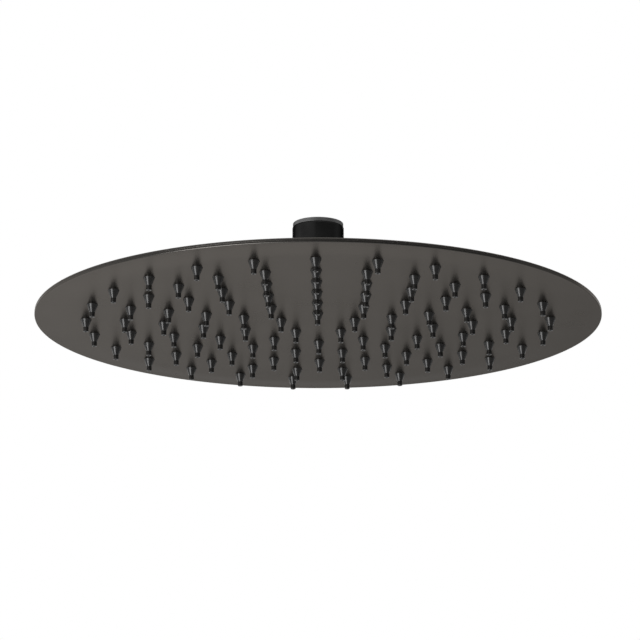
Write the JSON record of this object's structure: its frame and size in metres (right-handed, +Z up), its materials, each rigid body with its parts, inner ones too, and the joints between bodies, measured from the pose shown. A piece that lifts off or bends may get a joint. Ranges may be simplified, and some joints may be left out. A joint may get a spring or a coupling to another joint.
{
  "type": "shower head",
  "caption": "Slim round rain shower head: thin, barely bulged spray plate with rings of soft nozzles, a shallow domed back and a swivel ball joint with a threaded inlet.",
  "frame": {"origin": "centre of the inlet mouth, at the top of the threaded socket", "axes": "+Z up along the inlet thread, towards the supply pipe; the spray face looks along -Z; one nozzle of each ring lies towards -Y"},
  "size_m": [0.3, 0.3, 0.0615],
  "materials": {
    "gunmetal_sheet": "satin gunmetal coating",
    "gunmetal_brass": "satin gunmetal coating on brass",
    "satin_plating": "satin grey plating on brass",
    "black_sleeve": "satin black coating",
    "silicone": "smooth black silicone",
    "polished_ball": "polished plating",
    "white_plastic": "smooth white plastic",
    "regulator_plastic": "moulded pale grey plastic",
    "black_rubber": "matt black rubber",
    "bare_steel": "bare stainless steel"
  },
  "bodies": {
    "stem": {"ball_stem": "polished_ball", "inlet_socket": "satin_plating", "collar_sleeve": "black_sleeve", "flow_regulator": "regulator_plastic", "regulator_seal": "black_rubber", "filter_screen": "bare_steel", "inlet_washer": "black_rubber"},
    "seat": {"seat_washer": "white_plastic"},
    "ring": {"friction_ring": "white_plastic"},
    "head": {"face_plate": "gunmetal_sheet", "back_plate": "gunmetal_sheet", "support_studs": "bare_steel", "hub": "gunmetal_brass", "swivel_nut": "gunmetal_brass", "nozzles_ring_1": "silicone", "nozzles_ring_2": "silicone", "nozzles_ring_3": "silicone", "nozzles_ring_4": "silicone", "nozzles_ring_5": "silicone", "nozzles_ring_6": "silicone"}
  },
  "joints": [
    {"name": "tilt_front_back", "type": "hinge", "parent": "stem", "child": "seat", "pos_m": [0, 0, -0.03278], "axis": [1, 0, 0], "range_deg": [-15, 15]},
    {"name": "tilt_side", "type": "hinge", "parent": "seat", "child": "ring", "pos_m": [0, 0, -0.03278], "axis": [0, 1, 0], "range_deg": [-15, 15]},
    {"name": "spin", "type": "hinge", "parent": "ring", "child": "head", "pos_m": [0, 0, -0.03278], "axis": [0, 0, 1], "continuous": true}
  ]
}
